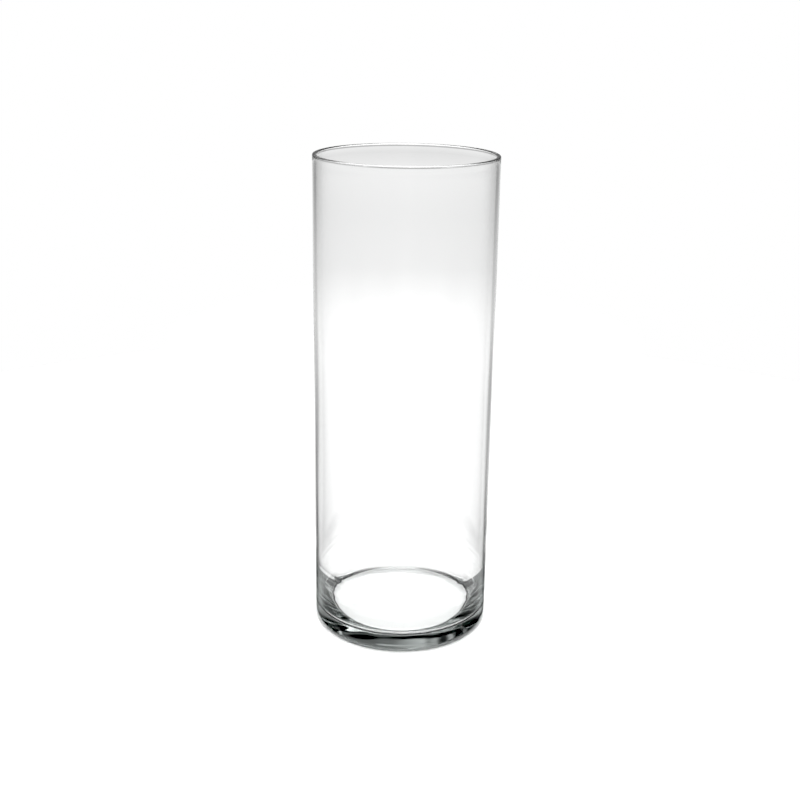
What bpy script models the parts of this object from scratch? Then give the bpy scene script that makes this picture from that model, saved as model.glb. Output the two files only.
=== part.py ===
"""Tall clear glass cylinder vase.

One piece of glass: a straight wall with a fire-polished lip that is slightly beaded on the inside,
thickening into a heavy base with a rounded heel and a flat polished underside. Metres, +Z up. The
origin is the centre of the underside, on the surface that the vase stands on, and +Z is the axis of
the bore.
"""

import math

import bmesh
import bpy

# Driving dimensions
HEIGHT = 0.400
OUTER_RADIUS = 0.074
WALL = 0.0031
LIP_THICKNESS = 0.0034
LIP_CROWN = 0.0010
LIP_BLEND = 0.0015
BASE_THICKNESS = 0.013
HEEL_WIDTH = 0.005
HEEL_HEIGHT = 0.0075
CORNER_WIDTH = 0.0095
CORNER_HEIGHT = 0.045

# Fineness of the turned surface
TURN_STEPS = 72
LIP_STEPS = 8
BLEND_STEPS = 3
HEEL_STEPS = 6
CORNER_STEPS = 14
MERGE_DISTANCE = 0.00001
SHARP_ANGLE = math.radians(35)

# Clear soda-lime glass
GLASS_COLOUR = (0.93, 0.96, 0.95, 1.0)
GLASS_ROUGHNESS = 0.02
GLASS_INDEX = 1.52

# Dimensions that follow from the ones above
INNER_RADIUS = OUTER_RADIUS - WALL
LIP_HEIGHT = HEIGHT - LIP_CROWN
FLOOR_RADIUS = INNER_RADIUS - CORNER_WIDTH
FOOT_RADIUS = OUTER_RADIUS - HEEL_WIDTH


def remove_scene_objects():
    """Empty the scene, whatever it held."""
    for existing in list(bpy.data.objects):
        bpy.data.objects.remove(existing, do_unlink=True)


def elliptic_arc(centre, radii, start_degrees, end_degrees, steps):
    """Points (radius, height) along an elliptic arc, both ends included."""
    points = []
    for step in range(steps + 1):
        degrees = start_degrees + (end_degrees - start_degrees) * step / steps
        angle = math.radians(degrees)
        radius = centre[0] + radii[0] * math.cos(angle)
        height = centre[1] + radii[1] * math.sin(angle)
        points.append((radius, height))
    return points


def inner_points():
    """Floor centre, out along the flat floor, round the corner and up the inside of the wall."""
    corner_centre = (FLOOR_RADIUS, BASE_THICKNESS + CORNER_HEIGHT)
    corner = elliptic_arc(corner_centre, (CORNER_WIDTH, CORNER_HEIGHT), -90, 0, CORNER_STEPS)
    return [(0.0, BASE_THICKNESS)] + corner


def blend_points():
    """Up the inside of the wall, out of its plain part and into the bead of the lip."""
    points = []
    for step in range(BLEND_STEPS):
        share = step / BLEND_STEPS
        swell = (LIP_THICKNESS - WALL) * (1 - math.cos(math.pi * share)) / 2
        points.append((INNER_RADIUS - swell, LIP_HEIGHT - LIP_BLEND * (1 - share)))
    return points


def lip_points():
    """Over the lip's flattened crown, from the inside of its bead to the outside of the wall."""
    lip_radius = LIP_THICKNESS / 2
    lip_centre = (OUTER_RADIUS - lip_radius, LIP_HEIGHT)
    return elliptic_arc(lip_centre, (lip_radius, LIP_CROWN), 180, 0, LIP_STEPS)


def heel_points():
    """Round the heel, from the outside of the wall to the flat underside."""
    heel_centre = (FOOT_RADIUS, HEEL_HEIGHT)
    return elliptic_arc(heel_centre, (HEEL_WIDTH, HEEL_HEIGHT), 0, -90, HEEL_STEPS)


def vase_profile():
    """Half section of the glass: up the inside, over the lip, down the outside, under the base."""
    return inner_points() + blend_points() + lip_points() + heel_points() + [(0.0, 0.0)]


def profile_mesh(name, points):
    """Open chain of edges through the points, in the XZ plane."""
    outline = bmesh.new()
    vertices = [outline.verts.new((radius, 0.0, height)) for radius, height in points]
    for first, second in zip(vertices, vertices[1:]):
        outline.edges.new((first, second))
    mesh = bpy.data.meshes.new(name)
    outline.to_mesh(mesh)
    outline.free()
    return mesh


def turn_about_axis(part):
    """Sweep the part's profile once round +Z into a closed solid."""
    screw = part.modifiers.new("turn", 'SCREW')
    screw.axis = 'Z'
    screw.angle = math.tau
    screw.steps = TURN_STEPS
    screw.render_steps = TURN_STEPS
    screw.use_merge_vertices = True
    screw.merge_threshold = MERGE_DISTANCE
    screw.use_smooth_shade = True


def shade_round(part):
    """Smooth shading on the round surfaces, with any sharp edge kept crisp."""
    graph = bpy.context.evaluated_depsgraph_get()
    turned = bpy.data.meshes.new_from_object(part.evaluated_get(graph), depsgraph=graph)
    profile = part.data
    part.modifiers.clear()
    part.data = turned
    turned.name = part.name
    bpy.data.meshes.remove(profile)
    turned.shade_smooth()
    turned.set_sharp_from_angle(angle=SHARP_ANGLE)


def glass_material():
    """Clear, faintly green glass."""
    material = bpy.data.materials.new("clear_glass")
    material.use_nodes = True
    shader = material.node_tree.nodes["Principled BSDF"]
    shader.inputs["Base Color"].default_value = GLASS_COLOUR
    shader.inputs["Roughness"].default_value = GLASS_ROUGHNESS
    shader.inputs["Metallic"].default_value = 0.0
    shader.inputs["IOR"].default_value = GLASS_INDEX
    shader.inputs["Transmission Weight"].default_value = 1.0
    return material


def make_vase(collection):
    """The vase, as one solid of glass standing on the origin."""
    vase = bpy.data.objects.new("glass_vase", profile_mesh("glass_vase", vase_profile()))
    collection.objects.link(vase)
    turn_about_axis(vase)
    shade_round(vase)
    vase.data.materials.append(glass_material())


def main():
    remove_scene_objects()
    collection = bpy.data.collections.new("glass_cylinder_vase")
    bpy.context.scene.collection.children.link(collection)
    make_vase(collection)


main()
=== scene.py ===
"""Looks of the glass cylinder vase: clear blown glass on a white table, in a soft studio tent."""
import math

import bmesh
import bpy
from mathutils import Matrix, Vector


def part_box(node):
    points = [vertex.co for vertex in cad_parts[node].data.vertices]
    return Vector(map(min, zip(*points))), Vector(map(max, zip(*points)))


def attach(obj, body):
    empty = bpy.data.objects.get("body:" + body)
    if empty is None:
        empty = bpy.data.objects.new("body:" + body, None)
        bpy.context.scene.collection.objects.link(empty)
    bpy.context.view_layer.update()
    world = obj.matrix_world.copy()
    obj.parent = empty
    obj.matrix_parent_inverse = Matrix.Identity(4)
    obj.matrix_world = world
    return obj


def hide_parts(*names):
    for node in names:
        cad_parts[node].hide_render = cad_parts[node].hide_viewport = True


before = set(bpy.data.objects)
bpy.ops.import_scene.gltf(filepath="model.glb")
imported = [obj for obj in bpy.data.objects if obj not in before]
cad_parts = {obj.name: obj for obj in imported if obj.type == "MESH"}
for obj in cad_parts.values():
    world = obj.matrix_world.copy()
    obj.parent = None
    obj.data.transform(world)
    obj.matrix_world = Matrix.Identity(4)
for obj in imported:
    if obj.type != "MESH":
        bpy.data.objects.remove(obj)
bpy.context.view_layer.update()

# Clear glass shows only what stands around it, so most of the values here lay out the light that
# the glass sees: a small white table under it, the cloth of a tent round it, and a few lights over
# the tent. Lengths are in metres, +Z is up, and behind is +Y, away from the camera.

# The vase: the same glass as the CAD node, with a finer surface
VASE_NODE = "glass_vase"
VASE_LOW, VASE_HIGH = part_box(VASE_NODE)
OUTER_RADIUS = (VASE_HIGH[0] - VASE_LOW[0]) / 2
HEIGHT = VASE_HIGH[2]
WALL = 0.0031
LIP_THICKNESS = 0.0034
LIP_CROWN = 0.0010
LIP_BLEND = 0.0015
BASE_THICKNESS = 0.013
HEEL_WIDTH = 0.005
HEEL_HEIGHT = 0.0075
CORNER_WIDTH = 0.0095
CORNER_HEIGHT = 0.045
INNER_RADIUS = OUTER_RADIUS - WALL
LIP_HEIGHT = HEIGHT - LIP_CROWN
FLOOR_EDGE = INNER_RADIUS - CORNER_WIDTH
FOOT_EDGE = OUTER_RADIUS - HEEL_WIDTH

# Fineness of the surfaces, and a distance that counts as none
TURN_STEPS = 288
FLOOR_STEPS = 60
CORNER_STEPS = 90
WALL_STEPS = 60
LIP_STEPS = 24
BLEND_STEPS = 16
HEEL_STEPS = 20
DISC_STEPS = 12
TINY = 1e-6

# The inside of the wall and the corner, between these radii
INSIDE_FROM = INNER_RADIUS / 2
INSIDE_TO = INNER_RADIUS + WALL / 10

# Slow ripples that the mould and the blowing leave on the inside of the wall:
# depth, waves round the vase, waves up the wall, phase. They fade towards the floor and the lip,
# by a power of half a sine wave
RIPPLES = (
    (0.00005, 3, 0.7, 0.4),
    (0.00003, 7, 1.6, 2.1),
    (0.00002, 12, 0.9, 4.0),
)
RIPPLE_LOW = BASE_THICKNESS
RIPPLE_HIGH = HEIGHT - WALL
RIPPLE_FADE = 0.5

# Closer rings on the inside of the corner, from one height to the other, which sway up and down:
# sways round the vase, amount in radians of a ring's wave, phase
RING_DEPTH = 0.00003
RING_SPACING = 0.0065
RING_LOW = 0.03
RING_HIGH = 0.085
RING_SWAY = ((2, 1.5, 1.0), (5, 0.8, 0.0))

# Unevenness of the floor and the underside: wavelength, direction in degrees, phase.
# Both fade towards their rims, by a power of the radius, and the underside has a share of it
UNEVEN_DEPTH = 0.00004
UNEVEN_WAVES = ((0.031, 20, 0.3), (0.023, 100, 1.1), (0.017, 155, 2.0))
FLOOR_FADE = 6
UNDERSIDE_FADE = 4
UNDERSIDE_SHARE = 0.5

WHITE = (1.0, 1.0, 1.0, 1.0)

# Clear soda-lime glass
GLASS_INDEX = 1.52
GLASS_ABSORPTION_COLOUR = (0.20, 0.25, 0.235, 1.0)
GLASS_ABSORPTION_DENSITY = 9.0

# Its polish, as roughness from least to most in patches, and its fine cords, stretched up the wall
NOISE_DETAIL = 1.0
POLISH_SCALE = 30.0
POLISH_LEAST = 0.0
POLISH_MOST = 0.003
CORD_SCALE = 55.0
CORD_STRETCH = (1.0, 1.0, 0.2)
CORD_DEPTH = 0.000004

# White table just under the vase, and a wide floor around it that the glass doesn't see
TABLE_RADIUS = 0.0805
TABLE_GAP = 0.0003
TABLE_ALBEDO = 0.85
TABLE_ROUGHNESS = 0.9
FLOOR_RADIUS = 0.9
FLOOR_GAP = 2 * TABLE_GAP

# Contact shadow painted into the table's colour under the rim of the base, between two soft circles:
# distance of the centre behind the axis, radius, softness. Straight behind, painted light thins the
# painted shadow: (distance to the side, share of light)
SHADOW_INNER = (0.010, 0.065, 0.002)
SHADOW_OUTER = (0.0065, 0.0735, 0.003)
SHADOW_THINNING = ((0.0, 0.75), (0.012, 0.7), (0.035, 0.0), (0.12, 0.0))

# Softbox over the table
SOFTBOX_HEIGHT = 2.2
SOFTBOX_DIAMETER = 4.2
SOFTBOX_POWER = 150.0

# Tent as the glass sees it, on its white cloth and in its folds: (sine of elevation, radiance)
TENT_CLOTH = (
    (-1.0, 1.3),
    (-0.28, 1.3),
    (-0.24, 1.12),
    (-0.21, 0.95),
    (-0.17, 0.93),
    (-0.14, 0.96),
    (-0.118, 0.78),
    (-0.06, 0.6),
    (0.03, 0.5),
    (0.08, 0.4),
    (0.2, 0.3),
    (0.3, 0.0),
)
TENT_SHADE = (
    (-1.0, 0.1),
    (-0.41, 0.1),
    (-0.37, 0.25),
    (-0.31, 0.35),
    (-0.25, 0.6),
    (-0.2, 0.52),
    (-0.14, 0.32),
    (-0.1, 0.45),
    (0.03, 0.35),
    (0.08, 0.2),
    (0.2, 0.15),
    (0.3, 0.0),
)
# Depth of its folds near the top, half way down and at the foot, the same on both sides:
# (degrees round from behind, share of shade)
FOLDS_TOP = (
    (0, 0.0),
    (8, 0.08),
    (12, 0.2),
    (15, 0.4),
    (22, 0.75),
    (27, 1.0),
    (36, 0.8),
    (60, 0.4),
    (180, 0.3),
)
FOLDS_MIDDLE = (
    (0, 0.0),
    (5, 0.1),
    (9, 0.28),
    (12, 0.36),
    (18, 0.45),
    (22, 0.8),
    (25, 1.0),
    (28, 1.0),
    (36, 0.6),
    (45, 0.3),
    (67, 0.25),
    (90, 0.1),
    (112, 0.5),
    (135, 0.1),
    (158, 0.4),
    (180, 0.1),
)
FOLDS_FOOT = (
    (0, 0.0),
    (12, 0.0),
    (19, 0.5),
    (23, 1.0),
    (60, 1.0),
    (90, 0.8),
    (120, 0.5),
    (180, 0.5),
)
# Where the top's and the foot's folds take over from the middle's: (sine of elevation, share)
TOP_SHARE = ((-1.0, 0.0), (-0.27, 0.0), (-0.18, 1.0), (1.0, 1.0))
FOOT_SHARE = ((-1.0, 0.0), (-0.6, 0.0), (-0.54, 1.0), (-0.48, 1.0), (-0.455, 0.0), (1.0, 0.0))

# Sides and front of the tent's rim, which are lit evenly: (degrees round from behind, share),
# (sine of elevation, share), and the radiance
RIM_TURN = ((0, 0.0), (50, 0.0), (75, 1.0), (180, 1.0))
RIM_SHARE = ((-1.0, 0.0), (-0.16, 0.0), (-0.1, 1.0), (0.04, 1.0), (0.12, 0.0), (1.0, 0.0))
RIM_LIGHT = 0.92

# Lights in the dark room over the tent: (sine of elevation, share), and
# (degrees round from behind, + towards +X, radiance)
ROOM_SHARE = ((-1.0, 0.0), (0.15, 0.0), (0.25, 1.0), (0.5, 1.0), (0.53, 0.0), (1.0, 0.0))
ROOM_LIGHTS = (
    (-180, 0.0),
    (-122, 0.0),
    (-118, 2.2),
    (-65, 1.3),
    (-60, 0.0),
    (-48, 0.0),
    (-44, 0.6),
    (-40, 0.0),
    (-33, 0.0),
    (-29, 1.2),
    (-26, 0.05),
    (-22, 0.05),
    (-19, 1.1),
    (-15, 0.6),
    (-12, 1.4),
    (-7, 1.1),
    (-2, 0.8),
    (4, 0.45),
    (15, 0.32),
    (34, 0.32),
    (36, 2.2),
    (38, 0.1),
    (40, 0.0),
    (60, 0.0),
    (65, 1.3),
    (118, 2.2),
    (122, 0.0),
    (180, 0.0),
)

# Shadows of the picture are taken down by this much, as in a high-contrast catalogue print
PRINT_BLACK = 0.045

# Light paths long enough for light to run round inside the thick base
MAX_BOUNCES = 48
CLEAR_BOUNCES = 32

# Camera, nearly a metre in front of the vase and a little above its lip
CAMERA_DISTANCE = 13.214 * OUTER_RADIUS
CAMERA_HEIGHT = 7.019 * OUTER_RADIUS
CAMERA_PITCH = math.radians(18.256)
CAMERA_YAW = math.radians(-0.148)
CAMERA_ROLL = math.radians(0.796)
CAMERA_LENS = 55.52
SENSOR_WIDTH = 36.0


def elliptic_arc(centre, radii, start_degrees, end_degrees, steps):
    """Points (radius, height) along an elliptic arc, both ends included."""
    points = []
    for step in range(steps + 1):
        angle = math.radians(start_degrees + (end_degrees - start_degrees) * step / steps)
        radius = centre[0] + radii[0] * math.cos(angle)
        height = centre[1] + radii[1] * math.sin(angle)
        points.append((radius, height))
    return points


def between(first, last, steps):
    """Evenly spaced points strictly between two points."""
    points = []
    for step in range(1, steps):
        share = step / steps
        points.append(tuple(a + (b - a) * share for a, b in zip(first, last)))
    return points


def lip_blend():
    """Down the inside of the lip's bead, from its widest point to the plain wall."""
    points = []
    for step in range(1, BLEND_STEPS):
        share = step / BLEND_STEPS
        swell = (LIP_THICKNESS - WALL) * (1 + math.cos(math.pi * share)) / 2
        points.append((INNER_RADIUS - swell, LIP_HEIGHT - LIP_BLEND * share))
    return points


def vase_profile():
    """Half section of the glass, from the centre of the floor round to the centre of the underside."""
    corner_centre = (FLOOR_EDGE, BASE_THICKNESS + CORNER_HEIGHT)
    corner = elliptic_arc(corner_centre, (CORNER_WIDTH, CORNER_HEIGHT), -90, 0, CORNER_STEPS)
    lip_centre = (OUTER_RADIUS - LIP_THICKNESS / 2, LIP_HEIGHT)
    lip = elliptic_arc(lip_centre, (LIP_THICKNESS / 2, LIP_CROWN), 180, 0, LIP_STEPS)
    heel = elliptic_arc((FOOT_EDGE, HEEL_HEIGHT), (HEEL_WIDTH, HEEL_HEIGHT), 0, -90, HEEL_STEPS)
    wall_top = (INNER_RADIUS, LIP_HEIGHT - LIP_BLEND)
    points = [(0.0, BASE_THICKNESS)]
    points += between(points[-1], corner[0], FLOOR_STEPS) + corner
    points += between(corner[-1], wall_top, WALL_STEPS) + [wall_top]
    points += lip_blend()[::-1] + lip
    points += between(lip[-1], heel[0], WALL_STEPS) + heel
    points += between(heel[-1], (0.0, 0.0), FLOOR_STEPS) + [(0.0, 0.0)]
    return points


def turned_mesh(name, profile):
    """Closed or open surface of revolution about +Z."""
    turned = bmesh.new()
    rings = []
    for radius, height in profile:
        if radius < TINY:
            rings.append([turned.verts.new((0, 0, height))] * TURN_STEPS)
            continue
        ring = []
        for step in range(TURN_STEPS):
            angle = math.tau * step / TURN_STEPS
            place = (radius * math.cos(angle), radius * math.sin(angle), height)
            ring.append(turned.verts.new(place))
        rings.append(ring)
    for lower, upper in zip(rings, rings[1:]):
        for step in range(TURN_STEPS):
            after = (step + 1) % TURN_STEPS
            corners = [lower[step], lower[after], upper[after], upper[step]]
            turned.faces.new(list(dict.fromkeys(corners)))
    bmesh.ops.recalc_face_normals(turned, faces=turned.faces)
    mesh = bpy.data.meshes.new(name)
    turned.to_mesh(mesh)
    turned.free()
    mesh.shade_smooth()
    return mesh


def inside_vertices(mesh, low, high):
    """Each vertex on the inside of the wall and the corner between two heights, with its radius."""
    for vertex in mesh.vertices:
        radius = math.hypot(vertex.co.x, vertex.co.y)
        if low < vertex.co.z < high and INSIDE_FROM < radius < INSIDE_TO:
            yield vertex, radius


def push_out(vertex, radius, shift):
    """Move a vertex straight away from the axis."""
    vertex.co.x += shift * vertex.co.x / radius
    vertex.co.y += shift * vertex.co.y / radius


def ripple_inner_wall(mesh):
    """Move the inside of the wall in and out a little, fading towards the floor and the lip."""
    for vertex, radius in inside_vertices(mesh, RIPPLE_LOW, RIPPLE_HIGH):
        share = (vertex.co.z - RIPPLE_LOW) / (RIPPLE_HIGH - RIPPLE_LOW)
        angle = math.atan2(vertex.co.y, vertex.co.x)
        shift = 0.0
        for depth, around, upward, phase in RIPPLES:
            shift += depth * math.sin(around * angle + math.tau * upward * share + phase)
        push_out(vertex, radius, shift * math.sin(math.pi * share) ** RIPPLE_FADE)


def ring_inner_corner(mesh):
    """Leave faint rings round the inside of the corner, swaying a little up and down."""
    for vertex, radius in inside_vertices(mesh, RING_LOW, RING_HIGH):
        angle = math.atan2(vertex.co.y, vertex.co.x)
        phase = math.tau * vertex.co.z / RING_SPACING
        for around, sway, start in RING_SWAY:
            phase += sway * math.sin(around * angle + start)
        fade = math.sin(math.pi * (vertex.co.z - RING_LOW) / (RING_HIGH - RING_LOW))
        push_out(vertex, radius, RING_DEPTH * math.sin(phase) * fade)


def unevenness(x, y):
    """Height of the slow unevenness of the glass at a place on the floor or the underside."""
    height = 0.0
    for wavelength, degrees, phase in UNEVEN_WAVES:
        along = x * math.cos(math.radians(degrees)) + y * math.sin(math.radians(degrees))
        height += UNEVEN_DEPTH * math.sin(math.tau * along / wavelength + phase)
    return height


def roughen_base(mesh):
    """Leave the floor and the underside slightly uneven; the underside stays clear of the table."""
    deepest = len(UNEVEN_WAVES) * UNEVEN_DEPTH
    for vertex in mesh.vertices:
        x, y, z = vertex.co
        radius = math.hypot(x, y)
        height = unevenness(x, y)
        if abs(z - BASE_THICKNESS) < TINY and radius < FLOOR_EDGE:
            vertex.co.z += height * (1 - (radius / FLOOR_EDGE) ** FLOOR_FADE)
        elif z < TINY and radius < FOOT_EDGE:
            rise = (height + deepest) * UNDERSIDE_SHARE
            vertex.co.z += rise * (1 - (radius / FOOT_EDGE) ** UNDERSIDE_FADE)


def noise_node(tree, place, scale):
    """Smooth noise from 0 to 1 over the object."""
    node = tree.nodes.new("ShaderNodeTexNoise")
    node.inputs["Scale"].default_value = scale
    node.inputs["Detail"].default_value = NOISE_DETAIL
    tree.links.new(place, node.inputs["Vector"])
    return node.outputs["Fac"]


def polish(tree, place):
    """Roughness of the glass, a little more in some patches than in others."""
    patches = tree.nodes.new("ShaderNodeMapRange")
    patches.inputs["To Min"].default_value = POLISH_LEAST
    patches.inputs["To Max"].default_value = POLISH_MOST
    tree.links.new(noise_node(tree, place, POLISH_SCALE), patches.inputs["Value"])
    return patches.outputs["Result"]


def cords(tree, place):
    """Normal of the glass over its fine cords."""
    stretch = tree.nodes.new("ShaderNodeVectorMath")
    stretch.operation = 'MULTIPLY'
    stretch.inputs[1].default_value = CORD_STRETCH
    tree.links.new(place, stretch.inputs[0])
    bump = tree.nodes.new("ShaderNodeBump")
    bump.inputs["Distance"].default_value = CORD_DEPTH
    tree.links.new(noise_node(tree, stretch.outputs["Vector"], CORD_SCALE), bump.inputs["Height"])
    return bump.outputs["Normal"]


def glass_material():
    """Clear glass: polished, faintly corded, a little grey where it is thick."""
    material = bpy.data.materials.new("clear_glass")
    material.use_nodes = True
    tree = material.node_tree
    place = tree.nodes.new("ShaderNodeTexCoord").outputs["Object"]
    shader = tree.nodes["Principled BSDF"]
    shader.inputs["Base Color"].default_value = WHITE
    shader.inputs["IOR"].default_value = GLASS_INDEX
    shader.inputs["Transmission Weight"].default_value = 1.0
    tree.links.new(polish(tree, place), shader.inputs["Roughness"])
    tree.links.new(cords(tree, place), shader.inputs["Normal"])
    volume = tree.nodes.new("ShaderNodeVolumeAbsorption")
    volume.inputs["Color"].default_value = GLASS_ABSORPTION_COLOUR
    volume.inputs["Density"].default_value = GLASS_ABSORPTION_DENSITY
    tree.links.new(volume.outputs["Volume"], tree.nodes["Material Output"].inputs["Volume"])
    return material


def make_vase():
    """The vase, in place of its CAD node."""
    mesh = turned_mesh("vase", vase_profile())
    ripple_inner_wall(mesh)
    ring_inner_corner(mesh)
    roughen_base(mesh)
    vase = bpy.data.objects.new("vase", mesh)
    bpy.context.scene.collection.objects.link(vase)
    mesh.materials.append(glass_material())
    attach(vase, "root")
    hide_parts(VASE_NODE)


def math_node(tree, operation, *values):
    """Output of a Math node whose inputs are numbers or other nodes' outputs."""
    node = tree.nodes.new("ShaderNodeMath")
    node.operation = operation
    for socket, value in zip(node.inputs, values):
        if isinstance(value, (int, float)):
            socket.default_value = value
        else:
            tree.links.new(value, socket)
    return node.outputs[0]


def mixed(tree, first, second, share):
    """First value, moved towards the second by the share."""
    difference = math_node(tree, 'SUBTRACT', second, first)
    return math_node(tree, 'MULTIPLY_ADD', difference, share, first)


def lookup_node(tree, source, stops, low, high):
    """Straight lines through the (value, result) stops, for a value from low to high."""
    node = tree.nodes.new("ShaderNodeValToRGB")
    elements = node.color_ramp.elements
    elements.remove(elements[1])
    elements[0].position = (stops[0][0] - low) / (high - low)
    for value, _ in stops[1:]:
        elements.new((value - low) / (high - low))
    for element, (_, result) in zip(elements, stops):
        element.color = (result, result, result, 1)
    share = tree.nodes.new("ShaderNodeMapRange")
    share.inputs["From Min"].default_value = low
    share.inputs["From Max"].default_value = high
    tree.links.new(source, share.inputs["Value"])
    tree.links.new(share.outputs["Result"], node.inputs["Fac"])
    return node.outputs["Color"]


def outside(tree, place, circle):
    """0 inside a circle on the table and 1 outside it, with a soft edge."""
    behind, radius, softness = circle
    distance = tree.nodes.new("ShaderNodeVectorMath")
    distance.operation = 'DISTANCE'
    distance.inputs[1].default_value = (0, behind, 0)
    tree.links.new(place, distance.inputs[0])
    edge = tree.nodes.new("ShaderNodeMapRange")
    edge.inputs["From Min"].default_value = radius - softness / 2
    edge.inputs["From Max"].default_value = radius + softness / 2
    tree.links.new(distance.outputs["Value"], edge.inputs["Value"])
    return edge.outputs["Result"]


def painted_shadow_light(tree, place):
    """Painted light on the table's colour: 0 in the painted contact shadow and 1 well clear of it."""
    split = tree.nodes.new("ShaderNodeSeparateXYZ")
    tree.links.new(place, split.inputs[0])
    side = math_node(tree, 'ABSOLUTE', split.outputs["X"])
    behind = math_node(tree, 'GREATER_THAN', split.outputs["Y"], 0.0)
    # Straight behind the vase, the painted shadow is lightened by painted light
    furthest = SHADOW_THINNING[-1][0]
    thinning = lookup_node(tree, side, SHADOW_THINNING, 0.0, furthest)
    thinned = math_node(tree, 'MULTIPLY', thinning, behind)
    within = math_node(tree, 'SUBTRACT', 1, outside(tree, place, SHADOW_INNER))
    light = math_node(tree, 'MAXIMUM', thinned, within)
    return math_node(tree, 'MAXIMUM', light, outside(tree, place, SHADOW_OUTER))


def table_material():
    """Matt white with a contact shadow painted into its colour under the rim of the vase's base."""
    material = bpy.data.materials.new("white_table_painted_shadow")
    material.use_nodes = True
    tree = material.node_tree
    place = tree.nodes.new("ShaderNodeTexCoord").outputs["Object"]
    shader = tree.nodes["Principled BSDF"]
    shader.inputs["Roughness"].default_value = TABLE_ROUGHNESS
    shader.inputs["Specular IOR Level"].default_value = 0.0
    # The table's white, darkened where the contact shadow is painted
    white = math_node(tree, 'MULTIPLY', painted_shadow_light(tree, place), TABLE_ALBEDO)
    tree.links.new(white, shader.inputs["Base Color"])
    return material


def disc(name, outer_radius, height):
    """Flat round sheet centred on the axis."""
    middle = (0.0, height)
    edge = (outer_radius, height)
    profile = [middle] + between(middle, edge, DISC_STEPS) + [edge]
    sheet = bpy.data.objects.new(name, turned_mesh(name, profile))
    bpy.context.scene.collection.objects.link(sheet)
    return sheet


def make_table():
    """A small table that everything sees, and a wide floor that the glass doesn't see, both matt white
    with the painted contact shadow.
    """
    # This white carries the contact shadow painted into its colour
    white = table_material()
    table = disc("table", TABLE_RADIUS, -TABLE_GAP)
    table.data.materials.append(white)
    floor = disc("floor", FLOOR_RADIUS, -FLOOR_GAP)
    floor.data.materials.append(white)
    floor.visible_glossy = False
    floor.visible_transmission = False


def make_softbox():
    """Round softbox straight above the vase."""
    light = bpy.data.lights.new("softbox", 'AREA')
    light.shape = 'DISK'
    light.size = SOFTBOX_DIAMETER
    light.energy = SOFTBOX_POWER
    lamp = bpy.data.objects.new("softbox", light)
    lamp.location = (0, 0, SOFTBOX_HEIGHT)
    bpy.context.scene.collection.objects.link(lamp)


def tent_light(tree, turn, sine):
    """Radiance of the tent, by the turn from behind and the sine of the elevation."""

    def by_turn(stops):
        """Look-up by the degrees round from behind."""
        return lookup_node(tree, turn, stops, 0, 180)

    def by_sine(stops):
        """Look-up by the sine of the elevation."""
        return lookup_node(tree, sine, stops, -1, 1)

    fold = by_turn(FOLDS_MIDDLE)
    fold = mixed(tree, fold, by_turn(FOLDS_TOP), by_sine(TOP_SHARE))
    fold = mixed(tree, fold, by_turn(FOLDS_FOOT), by_sine(FOOT_SHARE))
    tent = mixed(tree, by_sine(TENT_CLOTH), by_sine(TENT_SHADE), fold)
    rim = math_node(tree, 'MULTIPLY', by_turn(RIM_TURN), by_sine(RIM_SHARE))
    return mixed(tree, tent, RIM_LIGHT, rim)


def make_world():
    """White to the camera; to the glass, a tent that is bright low down, under a dark room."""
    world = bpy.data.worlds.new("studio")
    world.use_nodes = True
    tree = world.node_tree
    direction = tree.nodes.new("ShaderNodeTexCoord")
    split = tree.nodes.new("ShaderNodeSeparateXYZ")
    tree.links.new(direction.outputs["Generated"], split.inputs[0])
    sine = split.outputs["Z"]
    azimuth = math_node(tree, 'ARCTAN2', split.outputs["X"], split.outputs["Y"])
    azimuth = math_node(tree, 'DEGREES', azimuth)
    tent = tent_light(tree, math_node(tree, 'ABSOLUTE', azimuth), sine)
    lights = lookup_node(tree, azimuth, ROOM_LIGHTS, -180, 180)
    room = math_node(tree, 'MULTIPLY', lights, lookup_node(tree, sine, ROOM_SHARE, -1, 1))
    studio = math_node(tree, 'ADD', tent, room)
    to_camera = tree.nodes.new("ShaderNodeLightPath").outputs["Is Camera Ray"]
    background = tree.nodes["Background"]
    background.inputs["Color"].default_value = WHITE
    tree.links.new(math_node(tree, 'MAXIMUM', studio, to_camera), background.inputs["Strength"])
    bpy.context.scene.world = world


def make_camera():
    """Camera that looks down at the vase, turned and rolled by small angles."""
    data = bpy.data.cameras.new("camera")
    data.lens = CAMERA_LENS
    data.sensor_width = SENSOR_WIDTH
    camera = bpy.data.objects.new("camera", data)
    bpy.context.scene.collection.objects.link(camera)
    forward = Vector((
        math.sin(CAMERA_YAW) * math.cos(CAMERA_PITCH),
        math.cos(CAMERA_YAW) * math.cos(CAMERA_PITCH),
        -math.sin(CAMERA_PITCH)))
    right = Vector((math.cos(CAMERA_YAW), -math.sin(CAMERA_YAW), 0))
    up = right.cross(forward)
    rolled_right = right * math.cos(CAMERA_ROLL) + up * math.sin(CAMERA_ROLL)
    rolled_up = up * math.cos(CAMERA_ROLL) - right * math.sin(CAMERA_ROLL)
    matrix = Matrix((rolled_right, rolled_up, -forward)).transposed().to_4x4()
    matrix.translation = Vector((0, -CAMERA_DISTANCE, CAMERA_HEIGHT))
    camera.matrix_world = matrix
    bpy.context.scene.camera = camera


def set_picture():
    """Plain tones with deep blacks, and light paths that are long enough for the glass."""
    scene = bpy.context.scene
    scene.view_settings.view_transform = 'Standard'
    scene.view_settings.use_curve_mapping = True
    curves = scene.view_settings.curve_mapping
    curves.black_level = (PRINT_BLACK, PRINT_BLACK, PRINT_BLACK)
    curves.update()
    scene.cycles.max_bounces = MAX_BOUNCES
    scene.cycles.glossy_bounces = CLEAR_BOUNCES
    scene.cycles.transmission_bounces = CLEAR_BOUNCES
    scene.cycles.blur_glossy = 0.0


make_camera()
make_vase()
make_table()
make_softbox()
make_world()
set_picture()
